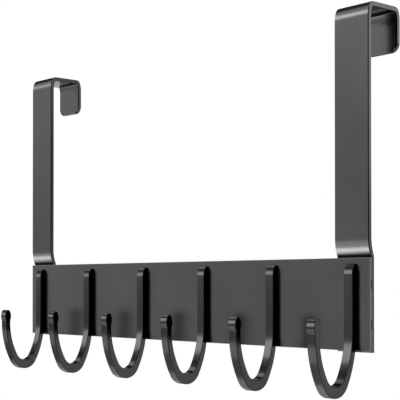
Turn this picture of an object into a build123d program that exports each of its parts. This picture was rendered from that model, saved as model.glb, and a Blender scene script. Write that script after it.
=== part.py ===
import os
from math import atan2, cos, degrees, radians, tan

from build123d import *

# Over-door rail with J hooks, in millimetres.
# X runs along the rail from its middle, Y = 0 is the door's front face, Z = 0 is the door's top edge.
# The hooks point towards -Y.

# Back plate
plate_length = 400.0
plate_height = 62.0
plate_thickness = 2.0
plate_edge_break = 0.4
notch_length = 6.2
notch_depth = 1.1
notch_inset = 3.0

# Folded straps
strap_width = 29.8
strap_inset = 0.8  # from the plate's ends
strap_thickness = 3.4
strap_edge_break = 0.5
strap_rise = 166.3  # plate's top edge to the door's top edge
strap_proud = 0.6  # upper leg's front face ahead of the plate's front face
door_gap = 24.0
front_fold_depth = 6.0  # outside of the fold over the door, front to back
front_fold_height = 10.5
front_fold_radius = 5.2  # where the fold meets the web
rear_fold_depth = 5.0
rear_fold_height = 9.0
rear_fold_radius = 4.2
drop_length = 30.2
drop_corner_radius = 6.5
joggle_angle = 21.5
joggle_fill = 0.95  # share of the double bend that is curved
joggle_upper_share = 0.9  # of the curved part, for the wide upper bend
joggle_gap = 0.1  # end of the double bend above the plate
tail_overhang = 0.8

# J hooks
hook_count = 6
hook_width = 7.6
hook_shank_depth = 4.1
hook_top_margin = 3.7  # shank's top below the plate's top edge
hook_top_round = 7.5  # height of the rounded shank top
hook_top_radius = 3.0  # at the very top
hook_back_radius = 1.0  # where the top meets the plate
hook_reach = 40.0
hook_arm_depth = 4.4
hook_below_plate = 30.4
bowl_depth = 41.2
bowl_thickness = 7.6  # at the lowest point
bowl_outer_radius = 12.5  # at the lowest point
bowl_inner_radius = 9.5
bulb_depth = 6.0
bulb_height = 10.9
bulb_end_radius = 2.3
bulb_rise = 5.6  # bulb's middle above the bowl's rim

# Screws from behind: pan heads on the plate, sunk heads in the straps
screw_diameter = 3.0
screw_clearance = 0.1  # on the diameter
screw_head_diameter = 5.6
pan_head_height = 1.8
sunk_head_angle = 90.0
screw_tip_gap = 0.3
screw_margin = 17.5  # from the plate's top and bottom edges
screw_end_wall = 0.9  # metal left in front of each blind hole

# Places worked out from the sizes above
plate_back = -strap_thickness
plate_front = plate_back - plate_thickness
plate_top = -strap_rise
plate_bottom = plate_top - plate_height
strap_front = plate_front - strap_proud
strap_centre = (plate_length - strap_width) / 2 - strap_inset
hook_pitch = 2 * strap_centre / (hook_count - 1)
hook_places = [i * hook_pitch - strap_centre for i in range(hook_count)]
shank_top = plate_top - hook_top_margin
shank_front = plate_front - hook_shank_depth
rim_level = plate_bottom - hook_below_plate + bowl_depth
tip_front = plate_front - hook_reach
tip_back = tip_front + hook_arm_depth
tip_middle = (tip_front + tip_back) / 2
bulb_level = rim_level + bulb_rise
screw_levels = [plate_bottom + screw_margin, plate_top - screw_margin]
screw_radius = screw_diameter / 2
screw_head_radius = screw_head_diameter / 2
hole_diameter = screw_diameter + screw_clearance
sink_diameter = screw_head_diameter + screw_clearance
blind_depth = hook_shank_depth - screw_end_wall


def rear_planes(places, depth):
    """Planes that face the door at each screw of the hooks at these places."""
    return [Plane(origin=(x, depth, z), z_dir=(0, 1, 0)) for x in places for z in screw_levels]


def make_plate():
    """Flat plate with broken front edges, screw holes and two notches at each end."""
    middle = (0, (plate_front + plate_back) / 2, (plate_top + plate_bottom) / 2)
    with BuildPart() as plate:
        with Locations(middle):
            Box(plate_length, plate_thickness, plate_height)
        chamfer(plate.faces().sort_by(Axis.Y)[0].edges(), plate_edge_break)
        notch_places = [(side * plate_length / 2, plate_back, z) for side in (-1, 1) for z in screw_levels]
        with Locations(notch_places):
            Box(2 * notch_inset, 2 * notch_depth, notch_length, mode=Mode.SUBTRACT)
        with Locations(rear_planes(hook_places, plate_back)):
            Hole(radius=hole_diameter / 2)
    return plate.part


def side_arc(half_width, depth, end_radius):
    """Radius and turn in degrees of an oval's side arc that runs smoothly into its end arc."""
    radius = (half_width**2 + depth**2 - 2 * depth * end_radius) / (2 * (half_width - end_radius))
    turn = degrees(atan2(depth - end_radius, radius - half_width))
    return radius, turn


def draw_front_crown(middle, top, half_width, height, end_radius):
    """Front upper quarter of an oval in two smooth arcs."""
    radius, turn = side_arc(half_width, height, end_radius)
    CenterArc((middle, top - end_radius), end_radius, 90, 90 - turn)
    CenterArc((middle - half_width + radius, top - height), radius, 180 - turn, turn)


def draw_rear_crown(middle, top, half_width, height, end_radius):
    """Rear upper quarter of an oval in two smooth arcs."""
    radius, turn = side_arc(half_width, height, end_radius)
    CenterArc((middle + half_width - radius, top - height), radius, 0, turn)
    CenterArc((middle, top - end_radius), end_radius, turn, 90 - turn)


def draw_strap_outside():
    """Outer side of a strap: drop, rear fold, web, front fold, leg, double bend and tail."""
    joggle_depth = plate_back - strap_front
    both_radii = joggle_fill * joggle_depth / (1 - cos(radians(joggle_angle)))
    upper_radius = joggle_upper_share * both_radii + strap_thickness / 2
    lower_radius = (1 - joggle_upper_share) * both_radii - strap_thickness / 2
    lower_bend = plate_top + joggle_gap + lower_radius * tan(radians(joggle_angle / 2))
    upper_bend = lower_bend + joggle_depth / tan(radians(joggle_angle))
    drop_back = door_gap + strap_thickness
    web_top = strap_thickness
    web_rear = drop_back - rear_fold_depth
    web_front = strap_front + front_fold_depth
    Line((drop_back, web_top - drop_length), (drop_back, web_top - rear_fold_height))
    draw_rear_crown(web_rear, web_top, rear_fold_depth, rear_fold_height, rear_fold_radius)
    Line((web_rear, web_top), (web_front, web_top))
    draw_front_crown(web_front, web_top, front_fold_depth, front_fold_height, front_fold_radius)
    leg_corners = [
        (strap_front, web_top - front_fold_height),
        (strap_front, upper_bend),
        (plate_back, lower_bend),
        (plate_back, plate_bottom - tail_overhang),
    ]
    FilletPolyline(leg_corners, radius=[upper_radius, lower_radius])


def make_strap(centre):
    """Strip folded over the door, with a double bend that leads its tail behind the plate."""
    with BuildPart() as strap:
        with BuildSketch(Plane.YZ.offset(centre - strap_width / 2)):
            with BuildLine():
                draw_strap_outside()
                offset(amount=strap_thickness, side=Side.LEFT)
            make_face()
        extrude(amount=strap_width)
        drop_corners = strap.edges().filter_by(Axis.Y).sort_by(Axis.Y)[-2:]
        fillet(drop_corners, drop_corner_radius)
        long_edges = strap.faces().filter_by(Axis.X).edges().filter_by(Axis.Y, reverse=True)
        chamfer(long_edges, strap_edge_break)
        with Locations(rear_planes([centre], 0)):
            CounterSinkHole(
                radius=hole_diameter / 2,
                counter_sink_radius=sink_diameter / 2,
                counter_sink_angle=sunk_head_angle,
            )
    return strap.part


def draw_bowl(middle, half_width, depth, end_radius):
    """Lower half of an oval in three smooth arcs."""
    radius, turn = side_arc(half_width, depth, end_radius)
    offside = radius - half_width
    CenterArc((middle + offside, rim_level), radius, 180, turn)
    CenterArc((middle, rim_level - depth + end_radius), end_radius, 180 + turn, 180 - 2 * turn)
    CenterArc((middle - offside, rim_level), radius, -turn, turn)


def draw_bar():
    """J-shaped bar: shank, bowl that is thickest at its lowest point, and arm up to the bulb's middle."""
    draw_front_crown(plate_front, shank_top, hook_shank_depth, hook_top_round, hook_top_radius)
    Line((shank_front, shank_top - hook_top_round), (shank_front, rim_level))
    inner_half = (shank_front - tip_back) / 2
    draw_bowl((shank_front + tip_back) / 2, inner_half, bowl_depth - bowl_thickness, bowl_inner_radius)
    Polyline((tip_back, rim_level), (tip_back, bulb_level), (tip_front, bulb_level), (tip_front, rim_level))
    draw_bowl((plate_front + tip_front) / 2, hook_reach / 2, bowl_depth, bowl_outer_radius)
    Line((plate_front, rim_level), (plate_front, shank_top))


def draw_bulb():
    """Oval bulb round the end of the arm, in four smooth arcs."""
    half_depth = bulb_depth / 2
    half_height = bulb_height / 2
    radius, turn = side_arc(half_depth, half_height, bulb_end_radius)
    offside = radius - half_depth
    end_offset = half_height - bulb_end_radius
    CenterArc((tip_middle - offside, bulb_level), radius, -turn, 2 * turn)
    CenterArc((tip_middle, bulb_level + end_offset), bulb_end_radius, turn, 180 - 2 * turn)
    CenterArc((tip_middle + offside, bulb_level), radius, 180 - turn, 2 * turn)
    CenterArc((tip_middle, bulb_level - end_offset), bulb_end_radius, 180 + turn, 180 - 2 * turn)


def make_hook():
    """J hook in one piece, with two blind screw holes in its back."""
    with BuildPart() as hook:
        with BuildSketch(Plane.YZ.offset(-hook_width / 2)) as outline:
            with BuildLine():
                draw_bar()
            make_face()
            fillet(outline.vertices().sort_by(Axis.Y)[-1], hook_back_radius)
            with BuildLine():
                draw_bulb()
            make_face()
        extrude(amount=hook_width)
        with Locations(rear_planes([0], plate_front)):
            Hole(radius=hole_diameter / 2, depth=blind_depth)
    return hook.part


def turn_screw(head_outline, grip):
    """Screw turned about Z, seated at Z = 0, that passes through the grip into a blind hole."""
    tip = screw_tip_gap - grip - blind_depth
    with BuildPart() as screw:
        with BuildSketch(Plane.XZ):
            Polygon(*head_outline, (screw_radius, tip), (0, tip), align=None)
        revolve(axis=Axis.Z)
    return screw.part


def make_pan_screw():
    """Short screw with a flat-topped head that rests on the plate's back."""
    head_outline = [
        (0, pan_head_height),
        (screw_head_radius, pan_head_height),
        (screw_head_radius, 0),
        (screw_radius, 0),
    ]
    return turn_screw(head_outline, plate_thickness)


def make_sunk_screw():
    """Longer screw whose head lies flush in the strap's back."""
    head_depth = (screw_head_radius - screw_radius) / tan(radians(sunk_head_angle / 2))
    head_outline = [(0, 0), (screw_head_radius, 0), (screw_radius, -head_depth)]
    return turn_screw(head_outline, strap_thickness + plate_thickness)


def place_screws(screw, places, depth):
    """One group of like screws, seated at this depth behind the hooks at these places."""
    return Compound(children=[plane.location * screw for plane in rear_planes(places, depth)])


hook = make_hook()
nodes = {
    "back_plate": make_plate(),
    "left_strap": make_strap(-strap_centre),
    "right_strap": make_strap(strap_centre),
    "hook_screws": place_screws(make_pan_screw(), hook_places[1:-1], plate_back),
    "strap_screws": place_screws(make_sunk_screw(), [hook_places[0], hook_places[-1]], 0),
}
for number, place in enumerate(hook_places, start=1):
    nodes[f"hook_{number}"] = Location((place, 0, 0)) * hook

os.makedirs("parts", exist_ok=True)
for name, solid in nodes.items():
    export_step(solid, os.path.join("parts", f"{name}.step"))
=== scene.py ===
import math

import bmesh
import bpy
from mathutils import Matrix, Vector


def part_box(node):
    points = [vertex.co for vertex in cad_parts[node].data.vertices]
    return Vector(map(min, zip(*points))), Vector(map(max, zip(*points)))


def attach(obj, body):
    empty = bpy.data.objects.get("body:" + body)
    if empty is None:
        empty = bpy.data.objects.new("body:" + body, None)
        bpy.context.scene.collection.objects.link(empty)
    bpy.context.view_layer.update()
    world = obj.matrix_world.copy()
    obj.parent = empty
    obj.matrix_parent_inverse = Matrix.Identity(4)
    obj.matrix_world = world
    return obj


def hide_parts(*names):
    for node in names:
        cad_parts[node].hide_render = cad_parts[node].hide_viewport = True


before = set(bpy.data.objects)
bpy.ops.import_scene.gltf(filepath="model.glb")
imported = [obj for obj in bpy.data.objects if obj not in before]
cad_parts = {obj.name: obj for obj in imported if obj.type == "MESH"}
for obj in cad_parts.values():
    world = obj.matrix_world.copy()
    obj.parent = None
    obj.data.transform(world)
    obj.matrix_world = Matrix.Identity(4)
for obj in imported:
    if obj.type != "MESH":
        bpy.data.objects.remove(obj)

scene = bpy.context.scene
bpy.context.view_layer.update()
plateLow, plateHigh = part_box("back_plate")
hookNames = ["hook_" + str(number) for number in range(1, 7)]
print("frame loaded:", len(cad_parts), "nodes")


# camera, placed from the plate's lower left front corner

camera = {
    "fromPlate": (0.8836, -0.5786, 0.0438),
    "turn": 48.4,  # degrees to the left of straight ahead
    "tilt": 0.7,  # degrees up
    "focalPixels": 1137.5,
    "horizonBelowMiddle": 85.1,  # pixels, for a level camera
    "imageSize": 400,
    "sensor": 36.0,
    "clip": (0.01, 50.0),
}


def makeCamera(c):
    data = bpy.data.cameras.new("camera")
    data.sensor_width = c["sensor"]
    data.lens = c["sensor"] * c["focalPixels"] / c["imageSize"]
    tilted = c["focalPixels"] * math.tan(math.radians(c["tilt"]))  # horizon drop that the tilt already gives
    data.shift_y = (c["horizonBelowMiddle"] - tilted) / c["imageSize"]
    data.clip_start, data.clip_end = c["clip"]
    item = bpy.data.objects.new("camera", data)
    item.location = plateLow + Vector(c["fromPlate"])
    item.rotation_euler = (math.radians(90 + c["tilt"]), 0, math.radians(c["turn"]))
    scene.collection.objects.link(item)
    scene.camera = item


makeCamera(camera)
scene.view_settings.view_transform = "Standard"
print("camera placed")


# satin coat: dark metallic powder with a fine even grain

satinCoat = {
    "dark": 0.0745,
    "light": 0.0825,
    "toneSpots": (0.35, 0.65),  # cloud values that get the dark and the light tone
    "tint": (1.0, 1.0, 1.02),
    "roughLow": 0.20,
    "roughHigh": 0.25,
    "roughSpots": (0.3, 0.7),  # grain values that get the low and the high roughness
    "cloud": {"Scale": 22.0, "Detail": 3.0, "Roughness": 0.55},
    "grain": {"Scale": 2600.0, "Detail": 2.0, "Roughness": 0.6},
    "grainDepth": 0.000012,
    "grainStrength": 0.12,
    "edge": 1.0,  # reflection at a glancing angle
    "metal": 1.0,
}
# painted shade: a near-black coat for the strap fronts just over the plate's top edge and for the plate's
# notches, standing in for the shade that falls there
paintedShadeCoat = dict(satinCoat, dark=0.006, light=0.010, roughLow=0.5, roughHigh=0.6, edge=0.1)


def setInputs(node, values):
    for key, value in values.items():
        node.inputs[key].default_value = value


def coatMaterial(name, c):
    material = bpy.data.materials.new(name)
    material.use_nodes = True
    tree = material.node_tree
    newNode, link = tree.nodes.new, tree.links.new
    shader = tree.nodes["Principled BSDF"]
    setInputs(shader, {"Metallic": c["metal"], "Specular Tint": (*(c["edge"],) * 3, 1.0)})
    place = newNode("ShaderNodeTexCoord")
    cloud = newNode("ShaderNodeTexNoise")
    setInputs(cloud, c["cloud"])
    grain = newNode("ShaderNodeTexNoise")
    setInputs(grain, c["grain"])
    tone = newNode("ShaderNodeValToRGB")
    for element, level, spot in zip(tone.color_ramp.elements, (c["dark"], c["light"]), c["toneSpots"]):
        element.color = (*(level * part for part in c["tint"]), 1.0)
        element.position = spot
    rough = newNode("ShaderNodeMapRange")
    setInputs(rough, {"From Min": c["roughSpots"][0], "From Max": c["roughSpots"][1]})
    setInputs(rough, {"To Min": c["roughLow"], "To Max": c["roughHigh"]})
    bump = newNode("ShaderNodeBump")
    setInputs(bump, {"Strength": c["grainStrength"], "Distance": c["grainDepth"]})
    link(place.outputs["Object"], cloud.inputs["Vector"])
    link(place.outputs["Object"], grain.inputs["Vector"])
    link(cloud.outputs["Fac"], tone.inputs["Fac"])
    link(tone.outputs["Color"], shader.inputs["Base Color"])
    link(grain.outputs["Fac"], rough.inputs["Value"])
    link(rough.outputs["Result"], shader.inputs["Roughness"])
    link(grain.outputs["Fac"], bump.inputs["Height"])
    link(bump.outputs["Normal"], shader.inputs["Normal"])
    return material


paintedShadeMaterial = coatMaterial("paintedShadeDark", paintedShadeCoat)
print("coats ready")


# what all pieces share

meshWork = {
    "mergeDistance": 0.000001,
    "flatAngle": 0.5,  # degrees between faces that count as one
    "flatWeight": 60,  # how far large faces pull the shading flat
}


def mergedCopy(nodeName, c):
    bm = bmesh.new()
    bm.from_mesh(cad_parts[nodeName].data)
    bmesh.ops.remove_doubles(bm, verts=bm.verts, dist=c["mergeDistance"])
    bmesh.ops.dissolve_limit(bm, angle_limit=math.radians(c["flatAngle"]), verts=bm.verts, edges=bm.edges)
    return bm


def addPiece(name, bm, materials):
    mesh = bpy.data.meshes.new(name)
    bm.to_mesh(mesh)
    bm.free()
    for material in materials:
        mesh.materials.append(material)
    item = bpy.data.objects.new(name, mesh)
    scene.collection.objects.link(item)
    return item


def finishPiece(nodeName, bm, materials, smoothAngle):
    item = addPiece(nodeName + "_finished", bm, materials)
    item.data.shade_smooth()
    item.data.set_sharp_from_angle(angle=math.radians(smoothAngle))
    weighted = item.modifiers.new("flatFaces", "WEIGHTED_NORMAL")
    weighted.keep_sharp = True
    weighted.weight = meshWork["flatWeight"]
    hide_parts(nodeName)
    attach(item, "root")
    return item


def middleX(nodeName):
    low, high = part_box(nodeName)
    return (low.x + high.x) / 2


# hooks: CAD form with rounded rims on both sides

hookPiece = {
    "coat": dict(satinCoat, dark=0.031, light=0.036, roughLow=0.15, roughHigh=0.19, edge=0.5),
    "rimRadius": 0.0005,
    "rimSegments": 4,
    "sideNormal": 0.999,
    "leastSide": 0.0001,  # m2, more than any face in the screw holes
    "plateGap": 0.00001,  # edges nearer to the plate stay as they are
    "smoothAngle": 32.0,
}


def roundRims(bm, c):
    sides = [face for face in bm.faces if abs(face.normal.x) > c["sideNormal"]]
    large = [face for face in sides if face.calc_area() > c["leastSide"]]
    rims = [edge for face in large for edge in face.edges]
    front = plateLow.y - c["plateGap"]
    bmesh.ops.bevel(
        bm,
        geom=[edge for edge in rims if min(vert.co.y for vert in edge.verts) < front],
        offset=c["rimRadius"],
        offset_type="OFFSET",
        affect="EDGES",
        segments=c["rimSegments"],
        profile=0.5,
        material=-1,
        clamp_overlap=False,
    )


def makeHook(hookName, material, c):
    bm = mergedCopy(hookName, meshWork)
    roundRims(bm, c)
    return finishPiece(hookName, bm, [material], c["smoothAngle"])


hookMaterial = coatMaterial("hookCoat", hookPiece["coat"])
hooks = [makeHook(hookName, hookMaterial, hookPiece) for hookName in hookNames]
print("hooks finished")


# straps: CAD form with painted shade where they run behind the plate

strapPiece = {
    "coat": dict(satinCoat, dark=0.075, light=0.083, roughLow=0.16, roughHigh=0.20, edge=0.6),
    # how far up the painted shade reaches
    "shadeAbove": 0.0019,  # over the plate's top edge
    "frontNormal": -0.5,
    "smoothAngle": 32.0,
}


# painted shade: the strap fronts between the plate's bottom edge and just over its top edge get the
# near-black coat, standing in for the shade where the strap runs behind the plate
def paintSeamShade(bm, c):
    top = plateHigh.z + c["shadeAbove"]
    for level in (plateLow.z, top):
        bmesh.ops.bisect_plane(
            bm,
            geom=[*bm.verts, *bm.edges, *bm.faces],
            dist=meshWork["mergeDistance"],
            plane_co=(0, 0, level),
            plane_no=(0, 0, 1),
        )
    for face in bm.faces:
        if face.normal.y < c["frontNormal"] and plateLow.z < face.calc_center_median().z < top:
            face.material_index = 1


def makeStrap(nodeName, material, c):
    bm = mergedCopy(nodeName, meshWork)
    paintSeamShade(bm, c)
    return finishPiece(nodeName, bm, [material, paintedShadeMaterial], c["smoothAngle"])


strapMaterial = coatMaterial("strapCoat", strapPiece["coat"])
leftStrap = makeStrap("left_strap", strapMaterial, strapPiece)
rightStrap = makeStrap("right_strap", strapMaterial, strapPiece)
print("straps finished")


# plate: CAD form with painted shade in its notches and a painted highlight on its broken edges

platePiece = {
    # painted highlight: a paler, non-metal coat for the plate's chamfer faces, standing in for the light
    # line along its broken edges
    "paintedHighlightCoat": dict(satinCoat, dark=0.17, light=0.19, roughLow=0.4, roughHigh=0.5, metal=0.0),
    "notchReach": (0.0001, 0.0032),  # from the plate's ends, past the end faces themselves
    "notchDepth": 0.0012,  # from the plate's back
    "highlightNormal": (-0.9, -0.5),
    "smoothAngle": 50.0,
}


def makePlate(c):
    bm = mergedCopy("back_plate", meshWork)
    for face in bm.faces:
        middle = face.calc_center_median()
        fromEnd = plateHigh.x - abs(middle.x)
        # painted shade: faces inside the notches get the near-black coat, standing in for the shade in them
        if c["notchReach"][0] < fromEnd < c["notchReach"][1] and plateHigh.y - middle.y < c["notchDepth"]:
            face.material_index = 1
        # painted highlight: the chamfer faces get the paler coat
        if c["highlightNormal"][0] < face.normal.y < c["highlightNormal"][1]:
            face.material_index = 2
    materials = [coatMaterial("plateCoat", satinCoat), paintedShadeMaterial, coatMaterial("platePaintedHighlight", c["paintedHighlightCoat"])]
    return finishPiece("back_plate", bm, materials, c["smoothAngle"])


plate = makePlate(platePiece)
print("plate finished")


# screws with cross recesses, seen from behind; sizes from the seat, along the screw's own axis

screwCoat = dict(satinCoat, dark=0.045, light=0.055, roughLow=0.28, roughHigh=0.36)
panScrew = {
    "node": "hook_screws",
    "hooks": hookNames[1:-1],
    "seat": plateHigh.y,
    "margin": 0.0175,  # from the plate's top and bottom edges
    "top": 0.0018,
    "profile": (
        (0.0018, 0.0018),
        (0.0023, 0.00168),
        (0.00265, 0.00135),
        (0.0028, 0.0009),
        (0.0028, 0.0),
        (0.0015, 0.0),
        (0.0015, -0.0044),
        (0.001, -0.0049),
        (0.0, -0.0049),
    ),
    "steps": 32,
    "recess": {"reach": 0.00145, "width": 0.00034, "depth": 0.0012, "reachTaper": 0.45, "widthTaper": 0.75},
    "turnPerHook": 37.0,  # degrees, so that no two recesses stand alike
    "turnPerMetre": 5000.0,  # degrees over the height
    "smoothAngle": 40.0,
}
sunkScrew = dict(
    panScrew,
    node="strap_screws",
    hooks=(hookNames[0], hookNames[-1]),
    seat=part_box("strap_screws")[1].y,
    top=0.0,
    profile=(
        (0.0026, 0.0),
        (0.0028, -0.00008),
        (0.0015, -0.0013),
        (0.0015, -0.0078),
        (0.001, -0.0083),
        (0.0, -0.0083),
    ),
)


def addRecess(bm, level, c):
    reach, width = c["reach"], c["width"]
    quarter = ((reach, -width), (reach, width), (width, width))
    outline = [(x, y) for x, y in quarter]
    outline += [(-y, x) for x, y in quarter]
    outline += [(-x, -y) for x, y in quarter]
    outline += [(y, -x) for x, y in quarter]
    rim = [bm.verts.new((x, y, level)) for x, y in outline]
    foot = []
    for x, y in outline:
        along = [c["reachTaper"] if abs(part) > width else c["widthTaper"] for part in (x, y)]
        foot.append(bm.verts.new((x * along[0], y * along[1], level - c["depth"])))
    for i in range(len(rim)):
        j = (i + 1) % len(rim)
        bm.faces.new((rim[i], rim[j], foot[j], foot[i]))
    bm.faces.new(foot)


def makeScrew(c):
    bm = bmesh.new()
    points = [bm.verts.new((radius, 0, level)) for radius, level in c["profile"]]
    lines = [bm.edges.new(pair) for pair in zip(points, points[1:])]
    bmesh.ops.spin(
        bm,
        geom=points + lines,
        cent=(0, 0, 0),
        axis=(0, 0, 1),
        angle=math.tau,
        steps=c["steps"],
        use_merge=True,
    )
    bmesh.ops.remove_doubles(bm, verts=bm.verts, dist=meshWork["mergeDistance"])
    addRecess(bm, c["top"], c["recess"])
    openEdges = [edge for edge in bm.edges if len(edge.link_faces) == 1]
    bmesh.ops.triangle_fill(bm, use_beauty=True, edges=openEdges, normal=(0, 0, 1))
    bmesh.ops.recalc_face_normals(bm, faces=bm.faces)
    return bm


def placeScrews(c, material):
    one = bpy.data.meshes.new("oneScrew")
    screw = makeScrew(c)
    screw.to_mesh(one)
    screw.free()
    bm = bmesh.new()
    facingDoor = Matrix.Rotation(math.radians(-90), 4, "X")
    for hookName in c["hooks"]:
        for level in (plateLow.z + c["margin"], plateHigh.z - c["margin"]):
            old = len(bm.verts)
            bm.from_mesh(one)
            bm.verts.ensure_lookup_table()
            turn = c["turnPerHook"] * (hookNames.index(hookName) + 1) + c["turnPerMetre"] * level
            turned = Matrix.Rotation(math.radians(turn), 4, "Z")
            place = Matrix.Translation((middleX(hookName), c["seat"], level))
            bmesh.ops.transform(bm, verts=bm.verts[old:], matrix=place @ facingDoor @ turned)
    bpy.data.meshes.remove(one)
    finishPiece(c["node"], bm, [material], c["smoothAngle"])


screwMaterial = coatMaterial("screwBlack", screwCoat)
placeScrews(panScrew, screwMaterial)
placeScrews(sunkScrew, screwMaterial)
print("screws finished")


# pale floor and white surroundings

matte = {"detail": 2.0, "rough": 0.9, "shine": 0.1}
floor = dict(matte, level=-1.0, radius=4.0, segments=96, dark=0.84, light=0.88, scale=3.0)
surroundings = {"Color": (1, 1, 1, 1), "Strength": 1.0}


def matteMaterial(name, c):
    material = bpy.data.materials.new(name)
    material.use_nodes = True
    tree = material.node_tree
    shader = tree.nodes["Principled BSDF"]
    setInputs(shader, {"Roughness": c["rough"], "Specular IOR Level": c["shine"]})
    place = tree.nodes.new("ShaderNodeTexCoord")
    cloud = tree.nodes.new("ShaderNodeTexNoise")
    setInputs(cloud, {"Scale": c["scale"], "Detail": c["detail"]})
    tone = tree.nodes.new("ShaderNodeValToRGB")
    for element, level in zip(tone.color_ramp.elements, (c["dark"], c["light"])):
        element.color = (level, level, level, 1.0)
    tree.links.new(place.outputs["Object"], cloud.inputs["Vector"])
    tree.links.new(cloud.outputs["Fac"], tone.inputs["Fac"])
    tree.links.new(tone.outputs["Color"], shader.inputs["Base Color"])
    return material


def makeFloor(c):
    bm = bmesh.new()
    bmesh.ops.create_circle(bm, cap_ends=True, segments=c["segments"], radius=c["radius"])
    bmesh.ops.translate(bm, verts=bm.verts, vec=(0, 0, c["level"]))
    addPiece("floor", bm, [matteMaterial("paleFloor", c)])


def makeWorld(c):
    world = bpy.data.worlds.new("whiteStudio")
    scene.world = world
    world.use_nodes = True
    setInputs(world.node_tree.nodes["Background"], c)


makeFloor(floor)
makeWorld(surroundings)
print("floor and surroundings made")


# soft boxes, each kept to one kind of piece
# turn is in degrees from the front towards the left, rise in degrees up, sizes in metres
# a box of level 1 looks as bright as the white surroundings

powerPerLevel = 4.0  # watts for each square metre
hookBoxes = {
    "hookBottom": {  # undersides of the bowls
        "aim": (-0.85, 0.05, 0.0), "turn": 0.0, "rise": -90.0,
        "distance": 0.95, "size": (1.1, 1.0), "level": 3.0,
    },
    "hookFill": {  # gives back what lowFlag takes
        "aim": (-1.5, -0.85, 0.0), "turn": 0.0, "rise": -90.0,
        "distance": 0.95, "size": (2.3, 0.7), "level": 1.0,
    },
    "hookOver": {  # gives back a part of what overFlag takes
        "aim": (-0.9, 0.0, 0.0), "turn": 0.0, "rise": 90.0,
        "distance": 1.15, "size": (2.4, 2.6), "level": 0.4,
    },
    "rightBack": {  # right sides
        "aim": (0.0, 0.0, -0.13), "turn": 221.8, "rise": 3.5,
        "distance": 1.79, "size": (1.2, 1.0), "level": 0.7,
    },
    "rearLeft": {  # tops of shanks and bulbs
        "aim": (0.0, 0.0, -0.17), "turn": 95.0, "rise": 40.0,
        "distance": 1.3, "size": (1.4, 0.6), "level": 3.0,
    },
    "hookRear": {  # floors of the bowls
        "aim": (0.0, 0.0, -0.2), "turn": 133.0, "rise": 18.0,
        "distance": 1.3, "size": (0.8, 0.7), "level": 0.5,
    },
}
strapBoxes = {
    "overFront": {  # front folds
        "aim": (-1.25, -0.8, 0.0), "turn": 0.0, "rise": 90.0,
        "distance": 0.75, "size": (1.6, 0.45), "level": 1.1,
    },
    "joggleSoft": {  # upper part of the double bends
        "aim": (0.0, 0.0, -0.16), "turn": 51.0, "rise": -10.0,
        "distance": 1.5, "size": (1.6, 0.32), "level": 1.0,
    },
}
leftStrapBoxes = {
    "leftSoft": {  # upper leg
        "aim": (-0.184, 0.0, -0.06), "turn": 56.0, "rise": 9.5,
        "distance": 1.6, "size": (0.8, 0.28), "level": 0.25,
    },
    "leftFold": {  # bright band of the front fold
        "aim": (-0.184, 0.0, 0.0), "turn": 59.0, "rise": 17.8,
        "distance": 1.5, "size": (0.7, 0.16), "level": 2.8,
    },
    "leftJoggle": {  # bright band of the double bend
        "aim": (-0.184, 0.0, -0.16), "turn": 58.8, "rise": -12.2,
        "distance": 1.4, "size": (0.7, 0.15), "level": 4.4,
    },
    "leftUnder": {  # underside of the web
        "aim": (-0.184, 0.01, 0.0), "turn": 123.0, "rise": -10.0,
        "distance": 1.4, "size": (0.5, 0.4), "level": 1.2,
    },
}
rightStrapBoxes = {
    "rightSoft": {  # upper leg
        "aim": (0.184, 0.0, -0.03), "turn": 41.0, "rise": 14.0,
        "distance": 1.6, "size": (0.8, 0.25), "level": 0.38,
    },
    "rightFold": {  # bright band of the front fold
        "aim": (0.184, 0.0, 0.0), "turn": 43.6, "rise": 24.0,
        "distance": 1.5, "size": (0.7, 0.21), "level": 4.3,
    },
    "rightJoggle": {  # bright band of the double bend
        "aim": (0.184, 0.0, -0.16), "turn": 43.5, "rise": -19.4,
        "distance": 1.4, "size": (0.7, 0.18), "level": 6.6,
    },
    "rightUnder": {  # underside of the web
        "aim": (0.184, 0.01, 0.0), "turn": 140.0, "rise": -13.0,
        "distance": 1.5, "size": (0.6, 0.5), "level": 0.15,
    },
    "rightBackHigh": {  # right side
        "aim": (0.0, 0.0, -0.05), "turn": 221.8, "rise": 12.0,
        "distance": 1.8, "size": (1.2, 0.6), "level": 1.0,
    },
}
plateBoxes = {
    "rightBackPlate": {  # right end
        "aim": (0.0, 0.0, -0.13), "turn": 221.8, "rise": 3.5,
        "distance": 1.79, "size": (1.2, 1.0), "level": 0.3,
    },
}
hookBands = {  # one box for each hook, seen by the camera in faces that lean up or down by these degrees
    "hookUpper": {"tilts": (4.7, 16.4), "distance": 1.5, "width": 1.2, "level": 4.4},
    "hookLower": {"tilts": (-15.2, -6.4), "distance": 1.5, "width": 1.2, "level": 1.9},
}
bowlMiddle = {"y": -0.02, "z": -0.21}


def standing(c):
    turn, rise = math.radians(c["turn"]), math.radians(c["rise"])
    away = Vector((-math.sin(turn) * math.cos(rise), -math.cos(turn) * math.cos(rise), math.sin(rise)))
    place = Vector(c["aim"]) + c["distance"] * away
    return Matrix.LocRotScale(place, away.to_track_quat("Z", "Y"), None)


def makeSoftBox(name, c, pieces):
    width, height = c["size"]
    data = bpy.data.lights.new(name, "AREA")
    data.shape = "RECTANGLE"
    data.size, data.size_y = width, height
    data.energy = powerPerLevel * width * height * c["level"]
    item = bpy.data.objects.new(name, data)
    item.matrix_world = standing(c)
    item.visible_camera = False
    scene.collection.objects.link(item)
    receivers = bpy.data.collections.new(name + "Receivers")
    for piece in pieces:
        receivers.objects.link(piece)
    item.light_linking.receiver_collection = receivers


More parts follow.
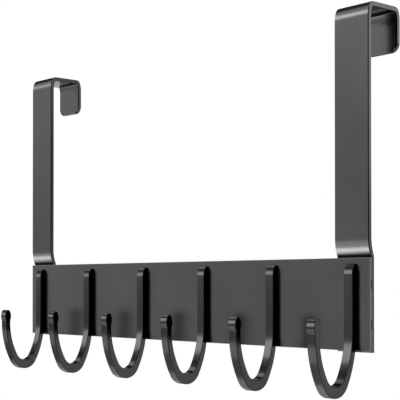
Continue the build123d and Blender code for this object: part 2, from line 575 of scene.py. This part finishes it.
def bandBox(hookName, c):
    aim = Vector((middleX(hookName), bowlMiddle["y"], bowlMiddle["z"]))
    view = (aim - scene.camera.location).normalized()
    tilts = [math.radians(tilt) for tilt in c["tilts"]]
    low, high = [view.reflect(Vector((0, -math.cos(tilt), math.sin(tilt)))) for tilt in tilts]
    away = (low + high).normalized()
    return {
        "aim": aim,
        "turn": math.degrees(math.atan2(-away.x, -away.y)),
        "rise": math.degrees(math.asin(away.z)),
        "distance": c["distance"],
        "size": (c["width"], 2 * c["distance"] * math.tan(low.angle(high) / 2)),
        "level": c["level"],
    }


boxGroups = (
    (hookBoxes, hooks),
    (strapBoxes, [leftStrap, rightStrap]),
    (leftStrapBoxes, [leftStrap]),
    (rightStrapBoxes, [rightStrap]),
    (plateBoxes, [plate]),
)
for boxes, pieces in boxGroups:
    for name, settings in boxes.items():
        makeSoftBox(name, settings, pieces)
for name, settings in hookBands.items():
    for number, hook in enumerate(hooks, start=1):
        makeSoftBox(name + str(number), bandBox(hookNames[number - 1], settings), [hook])
print("soft boxes placed")


# dark and grey cloths that only reflections see

darkCloth = dict(matte, dark=0.004, light=0.008, scale=40.0)
greyCloth = dict(matte, dark=0.22, light=0.26, scale=40.0)
darkFlags = {
    "cameraFlag": {  # round the camera
        "aim": (0.0, 0.0, -0.15), "turn": -48.5, "rise": 0.0,
        "distance": 1.38, "size": (1.5, 2.0),
    },
    "rearFlag": {  # behind, to the left
        "aim": (0.0, 0.0, -0.05), "turn": 132.2, "rise": 15.9,
        "distance": 1.83, "size": (2.4, 2.8),
    },
    "lowFlag": {  # just over the floor, in front on the left
        "aim": (-1.5, -0.85, 0.0), "turn": 0.0, "rise": -90.0,
        "distance": 0.98, "size": (2.3, 0.7),
    },
}
greyFlags = {
    "overFlag": {  # above, to the left
        "aim": (-1.75, 0.0, 0.0), "turn": 0.0, "rise": 90.0,
        "distance": 1.2, "size": (2.9, 3.2),
    },
    "sideFlag": {  # behind on the right, for the left strap's side
        "aim": (-0.184, 0.0, -0.09), "turn": 237.0, "rise": 5.0,
        "distance": 3.0, "size": (0.73, 0.47),
    },
}


def makeFlag(name, c, material):
    bm = bmesh.new()
    bmesh.ops.create_grid(bm, x_segments=1, y_segments=1, size=0.5)
    bmesh.ops.scale(bm, verts=bm.verts, vec=(*c["size"], 1.0))
    bmesh.ops.transform(bm, verts=bm.verts, matrix=standing(c))
    item = addPiece(name, bm, [material])
    item.visible_camera = False
    item.visible_diffuse = False
    item.visible_transmission = False
    item.visible_shadow = False


darkMaterial = matteMaterial("darkCloth", darkCloth)
for name, settings in darkFlags.items():
    makeFlag(name, settings, darkMaterial)
greyMaterial = matteMaterial("greyCloth", greyCloth)
for name, settings in greyFlags.items():
    makeFlag(name, settings, greyMaterial)
print("flags placed")
